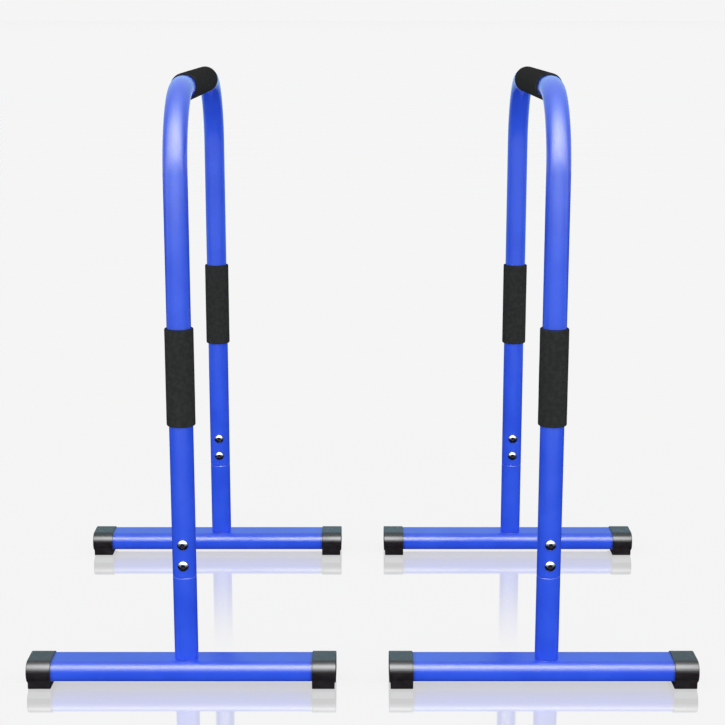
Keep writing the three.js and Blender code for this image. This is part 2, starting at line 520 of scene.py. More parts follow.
def circle(radius: float, height: float, sides: int, outline: Outline = Outline.ROUND) -> Ring:
    """A ring about Z.

    Args:
        radius: Its radius, or half the distance across a hexagon's flats.
        height: Its Z.
        sides: How many points it has.
        outline: Whether it is a circle or a hexagon.

    Returns:
        The points.
    """
    points = []
    for index in range(sides):
        angle = FULL_TURN * index / sides
        reach = radius
        if outline is Outline.HEXAGON:
            reach = radius / math.cos((angle + math.pi / 6) % (math.pi / 3) - math.pi / 6)
        points.append(Vector((reach * math.cos(angle), reach * math.sin(angle), height)))
    return points


def arc(radius: float, start: float, stop: float, steps: int) -> list[tuple[float, float]]:
    """Points on an arc about the origin, both ends included.

    Args:
        radius: Its radius.
        start: The angle it starts at.
        stop: The angle it stops at.
        steps: How many steps it has.

    Returns:
        Pairs of across and along.
    """
    angles = [start + (stop - start) * step / steps for step in range(steps + 1)]
    return [(radius * math.cos(angle), radius * math.sin(angle)) for angle in angles]


def loft(name: str, rings: Sequence[Ring], closed: bool) -> bpy.types.Mesh:
    """Joins rings of points into one closed surface.

    Args:
        name: The mesh's name.
        rings: The rings, all with the same number of points.
        closed: Whether the last ring joins the first, or both get a flat end.

    Returns:
        The mesh, with its faces outwards.
    """
    made = bmesh.new()
    rows = [[made.verts.new(point) for point in ring] for ring in rings]
    following = rows[1:] + (rows[:1] if closed else [])
    for row, other in zip(rows, following):
        count = len(row)
        for index in range(count):
            after = (index + 1) % count
            made.faces.new((row[index], row[after], other[after], other[index]))
    if not closed:
        made.faces.new(rows[0])
        made.faces.new(rows[-1])
    bmesh.ops.remove_doubles(made, verts=made.verts, dist=1e-7)
    bmesh.ops.recalc_face_normals(made, faces=made.faces)
    mesh = bpy.data.meshes.new(name)
    made.to_mesh(mesh)
    made.free()
    return mesh


def tidy(mesh: bpy.types.Mesh) -> None:
    """Merges a mesh's doubles and turns its faces outwards.

    Args:
        mesh: The mesh to change.
    """
    made = bmesh.new()
    made.from_mesh(mesh)
    bmesh.ops.remove_doubles(made, verts=made.verts, dist=1e-6)
    bmesh.ops.recalc_face_normals(made, faces=made.faces)
    made.to_mesh(mesh)
    made.free()


def centre_of(*nodes: str) -> Vector:
    """The middle of the box round some nodes.

    Args:
        nodes: The nodes' names.

    Returns:
        The middle.
    """
    low, high = span_of(*nodes)
    return (low + high) / 2


def span_of(*nodes: str) -> tuple[Vector, Vector]:
    """The box round some nodes.

    Args:
        nodes: The nodes' names.

    Returns:
        Its lowest and highest corners.
    """
    boxes = [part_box(node) for node in nodes]
    low = Vector(min(box[0][axis] for box in boxes) for axis in range(3))
    high = Vector(max(box[1][axis] for box in boxes) for axis in range(3))
    return low, high


def shade(mesh: bpy.types.Mesh, clear: Callable[[Vector], float]) -> None:
    """Marks where a mesh lies in a recess, for the shade that its material paints there.

    Args:
        mesh: The mesh.
        clear: Tells how far a point is out of the recess, from 0 deep in it to 1 clear of it.
    """
    depth = mesh.attributes.new(RECESS, "FLOAT", "POINT")
    for vertex in mesh.vertices:
        share = 1 - min(max(clear(vertex.co), 0), 1)
        depth.data[vertex.index].value = share * share


@dataclass
class Piece:
    """One dressed piece on its body, which also keeps its record's slot."""

    name: str
    mesh: bpy.types.Mesh
    material: bpy.types.Material
    slot: Slot
    stand: Stand
    nodes: Sequence[str]
    crease: float = math.radians(32)

    def place(self) -> bpy.types.Object:
        """Puts the piece in the scene, in the place of its nodes.

        Returns:
            The piece's object.
        """
        self.mesh.name = self.name
        self.mesh.materials.clear()
        self.mesh.materials.append(self.material)
        for polygon in self.mesh.polygons:
            polygon.material_index = 0
        self.mesh.shade_smooth()
        self.mesh.set_sharp_from_angle(angle=self.crease)
        made = bpy.data.objects.new(self.name, self.mesh)
        bpy.context.scene.collection.objects.link(made)
        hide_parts(*self.nodes)
        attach(made, self.stand.body)
        log.info("%s: %d faces on %s", self.name, len(self.mesh.polygons), self.stand.body)
        return made


def bevel(piece: bpy.types.Object, width: float, segments: int, limit: float) -> None:
    """Rounds a piece's sharp edges.

    Args:
        piece: The piece.
        width: How far the rounding reaches.
        segments: Its steps.
        limit: The least angle of an edge that is rounded.
    """
    modifier = piece.modifiers.new("rounded_edges", "BEVEL")
    modifier.width = width
    modifier.segments = segments
    modifier.limit_method = "ANGLE"
    modifier.angle_limit = limit


@dataclass
class BoltPattern:
    """Where a stand's bolts are, and the holes that they pass through."""

    stand: Stand
    hole_radius: float = 5.5 * MM
    hole_sides: int = 40
    drill_reach: float = 3.0
    spin_seed: int = 5
    first: Vector = field(init=False)
    leg_spacing: float = field(init=False)
    rise: float = field(init=False)

    def __post_init__(self) -> None:
        """Reads the places from the frame."""
        name = self.stand.value
        front_lower = centre_of(f"{name}_front_lower_bolt")
        front_upper = centre_of(f"{name}_front_upper_bolt")
        front = centre_of(f"{name}_front_post")
        back = centre_of(f"{name}_back_post")
        self.first = Vector((front.x, front.y, front_lower.z))
        self.leg_spacing = back.y - front.y
        self.rise = front_upper.z - front_lower.z

    def points(self, tree: ShapeTree) -> Socket:
        """Adds the four places to a tree, as bare points.

        Args:
            tree: The tree.

        Returns:
            The points.
        """
        first = tree.size("Lowest Front Bolt", self.first)
        leg_spacing = tree.size("Leg Spacing", self.leg_spacing)
        rise = tree.size("Bolt Spacing", self.rise)
        legs = tree.node("GeometryNodeMeshLine", None, {
            "Count": len(Leg), "Start Location": first, "Offset": tree.vector(0, leg_spacing, 0),
        })
        pair = tree.node("GeometryNodeMeshLine", None, {
            "Count": 2, "Start Location": ORIGIN, "Offset": tree.vector(0, 0, rise),
        })
        placed = tree.node("GeometryNodeInstanceOnPoints", None, {"Points": legs, "Instance": pair})
        return tree.node("GeometryNodeRealizeInstances", None, {"Geometry": placed})

    def drill(self, tree: ShapeTree, tube: Socket, radius: float) -> Socket:
        """Cuts the bolt holes through a tube.

        Args:
            tree: The tree.
            tube: The tube's mesh.
            radius: The tube's radius, which sets the length of the drill.

        Returns:
            The drilled tube.
        """
        drill = tree.node("GeometryNodeMeshCylinder", None, {
            "Vertices": tree.size("Hole Sides", self.hole_sides),
            "Radius": tree.size("Hole Radius", self.hole_radius),
            "Depth": tree.size("Drill Length", self.drill_reach * radius),
        })
        placed = tree.node("GeometryNodeInstanceOnPoints", None, {
            "Points": self.points(tree), "Instance": drill, "Rotation": Euler((QUARTER_TURN, 0, 0)),
        })
        drills = tree.node("GeometryNodeRealizeInstances", None, {"Geometry": placed})
        settings = {"operation": "DIFFERENCE", "solver": "EXACT"}
        return tree.node("GeometryNodeMeshBoolean", settings, {"Mesh 1": tube, "Mesh 2": [drills]})


@dataclass
class HandleFrame:
    """The bent tube of a stand: up the front leg, back over two bends and down the back leg."""

    stand: Stand
    wall: float = 2 * MM
    bend_radius: float = 125 * MM
    sides: int = 96
    bend_steps: int = 32
    edge_round: float = 0.35 * MM
    edge_steps: int = 3
    edge_limit: float = math.radians(50)

    def build(self, material: bpy.types.Material, pattern: BoltPattern) -> None:
        """Sweeps the tube, drills it and places it.

        Args:
            material: Its paint.
            pattern: Its bolt holes.
        """
        name = self.stand.value
        node = f"{name}_handle_frame"
        low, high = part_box(node)
        radius = (high.x - low.x) / 2
        x = (low.x + high.x) / 2
        bar = high.z - radius
        front, back = low.y + radius, high.y - radius

        tree = ShapeTree(f"{name}_bent_tube")
        seam_z, bar_z = tree.size("Seam Height", low.z), tree.size("Bar Height", bar)
        front_y, back_y = tree.size("Front Leg", front), tree.size("Back Leg", back)
        middle = tree.size("Middle", x)
        corners = {
            "Point 1": tree.vector(middle, front_y, seam_z),
            "Point 2": tree.vector(middle, front_y, bar_z),
            "Point 3": tree.vector(middle, back_y, bar_z),
            "Point 4": tree.vector(middle, back_y, seam_z),
        }
        path = tree.node("GeometryNodeCurvePrimitiveQuadrilateral", {"mode": "POINTS"}, corners)
        path = tree.node("GeometryNodeSetSplineCyclic", None, {"Geometry": path, "Cyclic": False})
        path = tree.node("GeometryNodeFilletCurve", {"mode": "POLY"}, {
            "Curve": path,
            "Count": tree.size("Bend Steps", self.bend_steps),
            "Radius": tree.size("Bend Radius", self.bend_radius),
        })
        section = tree.node("GeometryNodeCurvePrimitiveCircle", None, {
            "Resolution": tree.size("Sides", self.sides),
            "Radius": tree.size("Tube Radius", radius),
        })
        skin = tree.node("GeometryNodeCurveToMesh", None, {"Curve": path, "Profile Curve": section})
        lining = tree.node("GeometryNodeExtrudeMesh", None, {
            "Mesh": skin, "Offset Scale": -tree.size("Wall", self.wall), "Individual": False,
        })
        both = tree.node("GeometryNodeJoinGeometry", None, {"Geometry": [skin, lining]})
        tube = tree.node("GeometryNodeMergeByDistance", None, {
            "Geometry": both, "Distance": tree.size("Merge Distance", self.wall / 100),
        })
        tree.finish(tube, material)
        swept = tree.make(bpy.data.meshes.new(tree.nodes.name))
        tidy(swept)

        drilled = ShapeTree(f"{name}_handle_holes")
        drilled.finish(pattern.drill(drilled, drilled.base, radius), material)
        mesh = drilled.make(swept)
        tidy(mesh)
        piece = Piece(f"{name}_bent_handle", mesh, material, Slot.PAINT, self.stand, [node])
        bevel(piece.place(), self.edge_round, self.edge_steps, self.edge_limit)


@dataclass
class FoamGrip:
    """A foam tube, with soft ends and the slight waviness of cut foam."""

    node: str
    name: str
    stand: Stand
    wall: float = 3.5 * MM
    end_round: float = 2.2 * MM
    bore_round: float = 0.5 * MM
    bore_round_steps: int = 2
    wave_depth: float = 0.22 * MM
    wave_size: float = 26 * MM
    ring_spacing: float = 2.5 * MM
    sides: int = 96
    round_steps: int = 6
    fill: float = 0.9

    def profile(self, length: float, radius: float) -> list[tuple[float, float]]:
        """The section of the foam's wall.

        Args:
            length: The foam's length.
            radius: Its outer radius.

        Returns:
            Pairs of radius and height, once round.
        """
        bore = radius - self.wall
        rise, drop = self.end_round, length - self.end_round
        lower = [
            (radius - rise + across, rise + along)
            for across, along in arc(rise, -QUARTER_TURN, 0, self.round_steps)
        ]
        count = round((drop - rise) / self.ring_spacing)
        side = [(radius, rise + (drop - rise) * step / count) for step in range(1, count)]
        upper = [
            (radius - rise + across, drop + along)
            for across, along in arc(rise, 0, QUARTER_TURN, self.round_steps)
        ]
        lip = self.bore_round
        inner_top = [
            (bore + lip + across, length - lip + along)
            for across, along in arc(lip, QUARTER_TURN, math.pi, self.bore_round_steps)
        ]
        inner_low = [
            (bore + lip + across, lip + along)
            for across, along in arc(lip, math.pi, 1.5 * math.pi, self.bore_round_steps)
        ]
        return lower + side + upper + inner_top + inner_low

    def build(self, material: bpy.types.Material) -> None:
        """Turns the foam about its tube's axis and places it.

        Args:
            material: The foam's material.
        """
        low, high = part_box(self.node)
        centre, size = (low + high) / 2, high - low
        lying = size.y > size.z
        length, radius = max(size.y, size.z), size.x / 2
        bore = radius - self.wall
        rings = []
        for across, along in self.profile(length, radius):
            ring = circle(across, along - length / 2, self.sides)
            if lying:
                ring = [Vector((point.x, point.z, point.y)) for point in ring]
            depth = self.wave_depth * (across - bore) / self.wall
            rings.append([self.waved(point + centre, centre, lying, depth) for point in ring])
        mesh = loft(self.name, rings, closed=True)
        made = Piece(self.name, mesh, material, Slot.FOAM, self.stand, [self.node]).place()

    def waved(self, point: Vector, centre: Vector, lying: bool, depth: float) -> Vector:
        """Draws a point of the skin in by a little, unevenly.

        Args:
            point: The point.
            centre: The middle of the foam.
            lying: Whether the foam lies along Y or stands along Z.
            depth: The most that it is drawn in.

        Returns:
            The moved point.
        """
        away = point - centre
        away[1 if lying else 2] = 0
        share = 0.5 + 0.5 * noise.noise(point / self.wave_size)
        return point - away.normalized() * depth * share


@dataclass
class Foot:
    """The foot of one leg: the post, the crossbar that it is welded to and the two end caps."""

    stand: Stand
    leg: Leg
    tube_wall: float = 2 * MM
    bar_corner: float = 16 * MM
    bar_wall: float = 2 * MM
    corner_steps: int = 16
    support: float = 0.35 * MM
    shoulder: float = 2.5 * MM
    shoulder_steps: int = 8
    swage_taper: float = 8 * MM
    seam_gap: float = 0.3 * MM
    spigot_clearance: float = 0.3 * MM
    lead_in: float = 1 * MM
    bead: float = 0.5 * MM
    bead_steps: int = 7
    bead_ripples: int = 40
    bead_ripple_share: float = 0.3
    bead_ripple_depth: float = 0.03 * MM
    shade_reach: float = 4 * MM
    rim_shade_reach: float = 7 * MM
    shade_steps: int = 5
    post_sides: int = 160
    cap_wall: float = 1.6 * MM
    cap_end_wall: float = 3.4 * MM
    cap_clearance: float = 0.3 * MM
    foot_inset: float = 2.3 * MM
    foot_side_inset: float = 2.5 * MM
    foot_round: float = 3.5 * MM
    foot_round_steps: int = 6
    edge: float = 1.1 * MM
    edge_steps: int = 4
    cap_round: float = 0.3 * MM
    cap_round_steps: int = 3
    cap_round_limit: float = math.radians(36)

    @property
    def prefix(self) -> str:
        """The start of this foot's node names."""
        return f"{self.stand.value}_{self.leg.value}"

    def build(self, paint: bpy.types.Material, plastic: bpy.types.Material,
              pattern: BoltPattern) -> None:
        """Builds the post, the crossbar and the caps.

        Args:
            paint: The tubes' material.
            plastic: The caps' material.
            pattern: The bolt holes.
        """
        self.build_post(paint, pattern)
        self.build_crossbar(paint)
        for place in CapPlace:
            self.build_cap(place, plastic)

    def post_profile(self) -> list[tuple[float, float, float]]:
        """The section of the post's wall, from its foot to its spigot and back down inside.

        Returns:
            Radius, height and how much the weld's ripples move it, once round.
        """
        low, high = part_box(f"{self.prefix}_post")
        handle_low, handle_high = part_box(f"{self.stand.value}_handle_frame")
        radius = (handle_high.x - handle_low.x) / 2
        bore = radius - self.tube_wall
        spigot = bore - self.spigot_clearance
        spigot_bore = spigot - self.tube_wall
        neck = handle_low.z - self.seam_gap - self.shoulder
        bead = [
            (radius + self.bead * (1 - math.sin(turn)), low.z + self.bead * (1 - math.cos(turn)),
             math.sin(2 * turn) + self.bead_ripple_share)
            for turn in (QUARTER_TURN * step / self.bead_steps for step in range(self.bead_steps + 1))
        ]
        # Rings up the post's foot, for the painted shade that darkens it towards the weld.
        profile = bead + [
            (radius, low.z + self.bead + self.shade_reach * step / self.shade_steps, 0)
            for step in range(1, self.shade_steps + 1)
        ]
        profile += [(radius, neck - self.support, 0)]
        profile += [
            (spigot + (radius - spigot) * math.cos(turn), neck + self.shoulder * math.sin(turn), 0)
            for turn in (
                QUARTER_TURN * step / self.shoulder_steps for step in range(self.shoulder_steps + 1)
            )
        ]
        profile += [
            (spigot, high.z - self.lead_in, 0),
            (spigot - self.lead_in, high.z, 0),
            (spigot_bore, high.z, 0),
            (spigot_bore, neck, 0),
            (bore, neck - self.swage_taper, 0),
            (bore, low.z, 0),
        ]
        return profile

    def build_post(self, paint: bpy.types.Material, pattern: BoltPattern) -> None:
        """Turns the post, drills it and places it.

        Args:
            paint: Its material.
            pattern: Its bolt holes.
        """
        node = f"{self.prefix}_post"
        centre = centre_of(node)
        rings = []
        for radius, height, rippled in self.post_profile():
            ring = circle(radius, height, self.post_sides)
            for index, point in enumerate(ring):
                wave = math.cos(FULL_TURN * self.bead_ripples * index / self.post_sides)
                reach = 1 - rippled * self.bead_ripple_depth * (1 + wave) / 2 / radius
                point.x, point.y = point.x * reach + centre.x, point.y * reach + centre.y
            rings.append(ring)
        turned = loft(node, rings, closed=True)
        tree = ShapeTree(f"{self.prefix}_post_holes")
        radius = rings[0][0].x - centre.x
        tree.finish(pattern.drill(tree, tree.base, radius), paint)
        mesh = tree.make(turned)
        tidy(mesh)
        bar_centre, bar_half = self.bar()
        bar_top = bar_centre.z + bar_half.z
        # Painted shade: the post darkens towards the weld on the crossbar.
        shade(mesh, lambda point: (point.z - bar_top) / self.shade_reach)
        name = f"{self.prefix}_welded_post"
        Piece(name, mesh, paint, Slot.PAINT, self.stand, [node]).place()

    def rounded(self, half_depth: float, half_height: float, corner: float,
                sole: float | None = None) -> list[tuple[float, float]]:
        """The outline of a rounded bar, or of the cap on it with its foot block.

        Every outline has as many points as any other, so any two can be joined.

        Args:
            half_depth: Half its size along Y.
            half_height: Half its size along Z.
            corner: The radius of its corners.
            sole: The Z of the foot block's underside, if it has one.

        Returns:
            Pairs of Y and Z about the bar's axis, once round.
        """
        flat, stem = half_depth - corner, half_height - corner
        steps = self.corner_steps
        points = [(half_depth, -stem + self.support), (half_depth, stem - self.support)]
        points += [(flat + y, stem + z) for y, z in arc(corner, 0, QUARTER_TURN, steps)]
        points += [(flat - self.support, half_height), (self.support - flat, half_height)]
        points += [(y - flat, stem + z) for y, z in arc(corner, QUARTER_TURN, math.pi, steps)]
        points += [(-half_depth, stem - self.support), (-half_depth, self.support - stem)]
        turn = math.acos(1 - self.foot_side_inset / self.cap_corner())
        lower_left = arc(corner, math.pi, math.pi + turn, steps)
        side = arc(corner, math.pi + turn, 1.5 * math.pi, steps)
        lower = [(y - flat, z - stem) for y, z in lower_left]
        under = [(y - flat, z - stem) for y, z in side[1:]]
        if sole is not None:
            top, bend = lower[-1][1], sole + self.foot_round
            count = len(under) - self.foot_round_steps
            foot = -lower[-1][0]
            under = [(-foot, top + (bend - top) * step / count) for step in range(1, count + 1)]
            turned = arc(self.foot_round, math.pi, 1.5 * math.pi, self.foot_round_steps)
            under += [(self.foot_round - foot + y, bend + z) for y, z in turned[1:]]
        mirrored = [(-y, z) for y, z in reversed(lower + under)]
        return points + lower + under + mirrored

    def cap_corner(self) -> float:
        """The radius of a cap's long edges."""
        return self.bar_corner + self.cap_clearance + self.cap_wall

    def bar(self) -> tuple[Vector, Vector]:
        """The middle of the crossbar and half its size."""
        low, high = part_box(f"{self.prefix}_crossbar")
        return (low + high) / 2, (high - low) / 2

    def across(self, x: float, outline: list[tuple[float, float]]) -> Ring:
        """Sets an outline across the bar.

        Args:
            x: Its place along the bar.
            outline: The outline, about the bar's axis.

        Returns:
            The ring.
        """
        centre, _ = self.bar()
        return [Vector((x, centre.y + y, centre.z + z)) for y, z in outline]

    def build_crossbar(self, paint: bpy.types.Material) -> None:
        """Builds the flat-oval tube, with painted shade by the caps' rims, and places it.

        Args:
            paint: Its material.
        """
        centre, half = self.bar()
        skin = self.rounded(half.y, half.z, self.bar_corner)
        lining = self.rounded(half.y - self.bar_wall, half.z - self.bar_wall,
                              self.bar_corner - self.bar_wall)
        ends = [centre.x - half.x, centre.x + half.x]
        caps = [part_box(f"{self.prefix}_{place.value}_cap") for place in CapPlace]
        (_, first_high), (last_low, _) = sorted(caps, key=lambda box: box[0].x)
        rims = (first_high.x, last_low.x)
        # Rings beside the caps' rims, for the painted shade that darkens the tube there.
        steps = [self.rim_shade_reach * step / self.shade_steps for step in range(self.shade_steps + 1)]
        marks = ends + [rims[0] + step for step in steps] + [rims[1] - step for step in steps]
        rings = [self.across(mark, skin) for mark in sorted(marks)]
        rings += [self.across(ends[1], lining), self.across(ends[0], lining)]
        node = f"{self.prefix}_crossbar"
        mesh = loft(node, rings, closed=True)
        # Painted shade: the tube darkens up to the caps' rims.
        shade(mesh, lambda point: min(point.x - rims[0], rims[1] - point.x) / self.rim_shade_reach)
        name = f"{self.prefix}_foot_tube"
        Piece(name, mesh, paint, Slot.PAINT, self.stand, [node]).place()

    def build_cap(self, place: CapPlace, plastic: bpy.types.Material) -> None:
        """Builds an end cap with its foot block and places it.

        Args:
            place: Which end it closes.
            plastic: Its material.
        """
        node = f"{self.prefix}_{place.value}_cap"
        low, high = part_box(node)
        centre, half = self.bar()
        towards = self.stand.outwards if place is CapPlace.OUTER else -self.stand.outwards
        rim, end = (low.x, high.x) if towards > 0 else (high.x, low.x)
        half_depth = (high.y - low.y) / 2
        half_height = high.z - centre.z
        sole = low.z - centre.z
        plain = self.rounded(half_depth, half_height, self.cap_corner())
        footed = self.rounded(half_depth, half_height, self.cap_corner(), sole)
        turns = [QUARTER_TURN * step / self.edge_steps for step in range(self.edge_steps)]
        mouth, face = [], []
        for turn in turns:
            inset, along = self.edge * (1 - math.sin(turn)), towards * self.edge * (1 - math.cos(turn))
            sizes = (half_depth - inset, half_height - inset, self.cap_corner() - inset)
            mouth.append(self.across(rim + along, self.rounded(*sizes, sole + inset)))
            face.append(self.across(end - along, self.rounded(*sizes)))
        pocket = self.rounded(half.y + self.cap_clearance, half.z + self.cap_clearance,
                              self.bar_corner + self.cap_clearance)
        foot_end = end - towards * self.foot_inset
        pocket_end = end - towards * self.cap_end_wall
        rings = [
            self.across(pocket_end, pocket),
            self.across(rim, pocket),
            *mouth,
            self.across(rim + towards * self.edge, footed),
            self.across(foot_end, footed),
            self.across(foot_end, plain),
            self.across(end - towards * self.edge, plain),
            *reversed(face),
        ]
        mesh = loft(node, rings, closed=False)
        name = f"{self.prefix}_{place.value}_end_cap"
        made = Piece(name, mesh, plastic, Slot.PLASTIC, self.stand, [node]).place()
        bevel(made, self.cap_round, self.cap_round_steps, self.cap_round_limit)


@dataclass
class Fasteners:
    """The bolts, washers and nuts of one stand."""

    stand: Stand
    sides: int = 72
    socket_width: float = 6 * MM
    socket_depth: float = 3 * MM
    socket_chamfer: float = 0.22 * MM
    socket_point: float = 1.2 * MM
    head_height: float = 5.5 * MM
    head_rim: float = 1 * MM
    head_edge: float = 0.25 * MM
    bolt_clearance: float = 0.3 * MM
    thread_pitch: float = 1.5 * MM
    thread_depth: float = 0.8 * MM
    threaded: float = 21 * MM
    thread_steps: int = 8
    end_chamfer: float = 0.9 * MM
    run_out_turns: float = 2.0
    washer_round: float = 0.35 * MM
    washer_round_steps: int = 4
    hole_radius: float = 5.3 * MM
    nut_face_inset: float = 0.25 * MM
    chamfer_slope: float = 0.55
    chamfer_steps: int = 6
    dome_steps: int = 10
    most_turn: float = math.pi / 3

    def build(self, material: bpy.types.Material, pattern: BoltPattern) -> None:
        """Builds each kind of fastener once and sets it at every bolt's place.

        Args:
            material: Their material.
            pattern: Their places.
        """
        shapes: dict[Fastener, Callable[[], bpy.types.Mesh]] = {
            Fastener.BOLT: self.bolt,
            Fastener.WASHER: self.washer,
            Fastener.NUT: self.nut,
        }
        for kind, shape in shapes.items():
            base = shape()
            tree = ShapeTree(f"{self.stand.value}_{kind.value}_set")
            turn = tree.node("FunctionNodeRandomValue", {"data_type": "FLOAT"}, {
                "Seed": tree.size("Seed", pattern.spin_seed + list(Fastener).index(kind)),
                2: 0.0,
                3: self.most_turn,
            }, 1)
            placed = tree.node("GeometryNodeInstanceOnPoints", None, {
                "Points": pattern.points(tree),
                "Instance": tree.base,
                "Rotation": tree.vector(0, turn, 0),
            })
            tree.finish(placed, material)
            mesh = tree.make(base)
            nodes = [
                f"{self.stand.value}_{leg.value}_{level}_{kind.value}"
                for leg in Leg for level in ("lower", "upper")
            ]
            name = f"{self.stand.value}_{kind.value}s"
            Piece(name, mesh, material, Slot.STEEL, self.stand, nodes).place()

    def reach(self, kind: Fastener) -> tuple[float, float, float]:
        """Where a fastener lies about its upright's axis.

        Args:
            kind: The fastener.

        Returns:
            Its lowest and highest Y from the axis, and its half width along X.
        """
        low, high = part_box(f"{self.stand.value}_front_lower_{kind.value}")
        axis = centre_of(f"{self.stand.value}_front_post").y
        return low.y - axis, high.y - axis, (high.x - low.x) / 2

    def turned(self, name: str, rings: Sequence[Ring], closed: bool) -> bpy.types.Mesh:
        """Lofts rings about Z and lays them along Y, with Z towards -Y.

        Args:
            name: The mesh's name.
            rings: The rings.
            closed: Whether the last ring joins the first.

        Returns:
            The mesh.
        """
        laid = [[Vector((point.x, -point.z, point.y)) for point in ring] for ring in rings]
        return loft(name, laid, closed)

    def bolt(self) -> bpy.types.Mesh:
        """A button-head bolt with a hexagon socket, its head towards -Y."""
        low, high, head_radius = self.reach(Fastener.BOLT)
        crown, tip = -low, -high
        nominal = self.hole_radius - self.bolt_clearance
        seat = crown - self.head_height
        rim = seat + self.head_rim
        flat = self.socket_width / 2
        mouth = flat / math.cos(math.pi / 6) + self.socket_chamfer
        dome_rise = crown - rim
        last = math.acos(mouth / head_radius)
        floor = crown - self.socket_depth
        rings = [circle(self.socket_chamfer / 4, floor - self.socket_point, self.sides)]
        rings.append(circle(flat, floor, self.sides, Outline.HEXAGON))
        rings.append(circle(flat, crown - 2 * self.socket_chamfer, self.sides, Outline.HEXAGON))
        for step in range(self.dome_steps + 1):
            turn = last * (1 - step / self.dome_steps)
            rings.append(
                circle(head_radius * math.cos(turn), rim + dome_rise * math.sin(turn), self.sides)
            )
        rings.append(circle(head_radius, rim - self.head_edge, self.sides))
        rings.append(circle(head_radius, seat + self.head_edge, self.sides))
        rings.append(circle(head_radius - self.head_edge, seat, self.sides))
        rings.append(circle(nominal, seat, self.sides))
        rings.append(circle(nominal, tip + self.threaded, self.sides))
        rings += self.thread(nominal, tip)
        rings.append(circle(nominal - self.thread_depth - self.end_chamfer / 2, tip, self.sides))
        mesh = self.turned("bolt", rings, closed=False)
        # Marks the hexagon socket and its mouth chamfer for the plated steel's painted shade.
        reach = mouth + self.socket_chamfer / 2
        shade(mesh, lambda point: float(
            math.hypot(point.x, point.z) >= reach or -point.y <= rim - dome_rise
        ))
        return mesh

    def thread(self, nominal: float, tip: float) -> list[Ring]:
        """The rings of a helical thread, down to a chamfered end.

        Args:
            nominal: The thread's outer radius.
            tip: The height of the bolt's end.

        Returns:
            The rings, from the shank to the end.
        """
        rings = []
        count = round(self.threaded / self.thread_pitch * self.thread_steps)
        for step in range(1, count + 1):
            height = tip + self.threaded * (1 - step / count)
            ring = []
            for index in range(self.sides):
                angle = FULL_TURN * index / self.sides
                phase = (height / self.thread_pitch + index / self.sides) % 1
                groove = self.thread_depth * (1 - abs(2 * phase - 1))
                run_out = min(1.0, step / self.thread_steps / self.run_out_turns)
                radius = nominal - groove * run_out
                radius = min(radius, nominal - self.end_chamfer + (height - tip))
                ring.append(Vector((radius * math.cos(angle), radius * math.sin(angle), height)))
            rings.append(ring)
        return rings

    def washer(self) -> bpy.types.Mesh:
        """A flat washer with rolled edges."""
        low, high, radius = self.reach(Fastener.WASHER)
        soft = self.washer_round
        profile = [(radius - soft + across, -low - soft + along)
                   for across, along in arc(soft, QUARTER_TURN, 0, self.washer_round_steps)]
        profile += [(radius - soft + across, -high + soft + along)
                    for across, along in arc(soft, 0, -QUARTER_TURN, self.washer_round_steps)]
        profile += [(self.hole_radius, -high), (self.hole_radius, -low)]
        rings = [circle(across, along, self.sides) for across, along in profile]
        return self.turned("washer", rings, closed=True)

    def nut(self) -> bpy.types.Mesh:
        """A hexagon nut with chamfered corners."""
        low, high, half_width = self.reach(Fastener.NUT)
        near, far = -low, -high
        flat = half_width * math.cos(math.pi / 6)
        face = flat - self.nut_face_inset
        chamfer = (half_width - face) * self.chamfer_slope
        rings = [circle(self.hole_radius, near, self.sides)]
        falls = [chamfer * step / self.chamfer_steps for step in range(self.chamfer_steps + 1)]
        levels = [near - fall for fall in falls] + [far + fall for fall in reversed(falls)]
        for level in levels:
            depth = min(near - level, level - far)
            limit = face + depth / self.chamfer_slope
            ring = circle(flat, level, self.sides, Outline.HEXAGON)
            for point in ring:
                across = math.hypot(point.x, point.y)
                reach = min(across, limit) / across
                point.x, point.y = point.x * reach, point.y * reach
            rings.append(ring)
        rings.append(circle(self.hole_radius, far, self.sides))
        return self.turned("nut", rings, closed=True)


